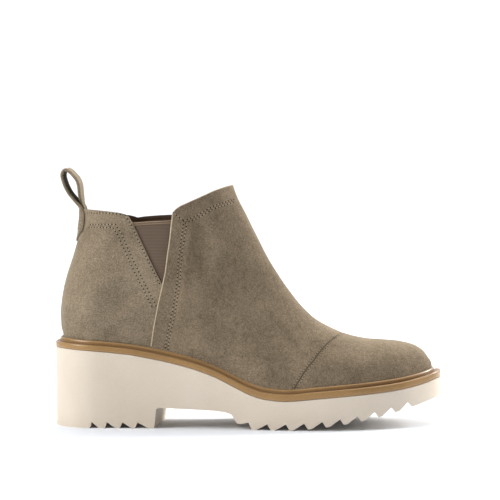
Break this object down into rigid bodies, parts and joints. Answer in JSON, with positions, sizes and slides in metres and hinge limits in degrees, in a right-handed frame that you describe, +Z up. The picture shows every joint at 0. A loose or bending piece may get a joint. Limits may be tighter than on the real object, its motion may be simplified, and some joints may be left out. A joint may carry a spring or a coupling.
{
  "type": "wedge ankle boot",
  "caption": "Slip-on suede ankle boot for the right foot with elastic gussets, a pull loop at the back and a low wedge sole with saw teeth.",
  "frame": {"origin": "on the ground, under the middle of the boot's bounding box", "axes": "+X from heel to toe, +Y towards the inner (medial) side of the foot, +Z up"},
  "size_m": [0.267, 0.094, 0.1775],
  "materials": {
    "cream_rubber": "matte",
    "tan_welt": "waxed",
    "insole_board": "matte",
    "taupe_suede": "napped",
    "brown_elastic_lateral": "ribbed",
    "brown_elastic_medial": "ribbed",
    "loop_suede": "napped"
  },
  "bodies": {
    "root": {"outsole": "cream_rubber", "welt": "tan_welt", "insole": "insole_board", "upper": "taupe_suede", "gore_lateral": "brown_elastic_lateral", "gore_medial": "brown_elastic_medial", "pull_loop": "loop_suede"}
  },
  "joints": []
}
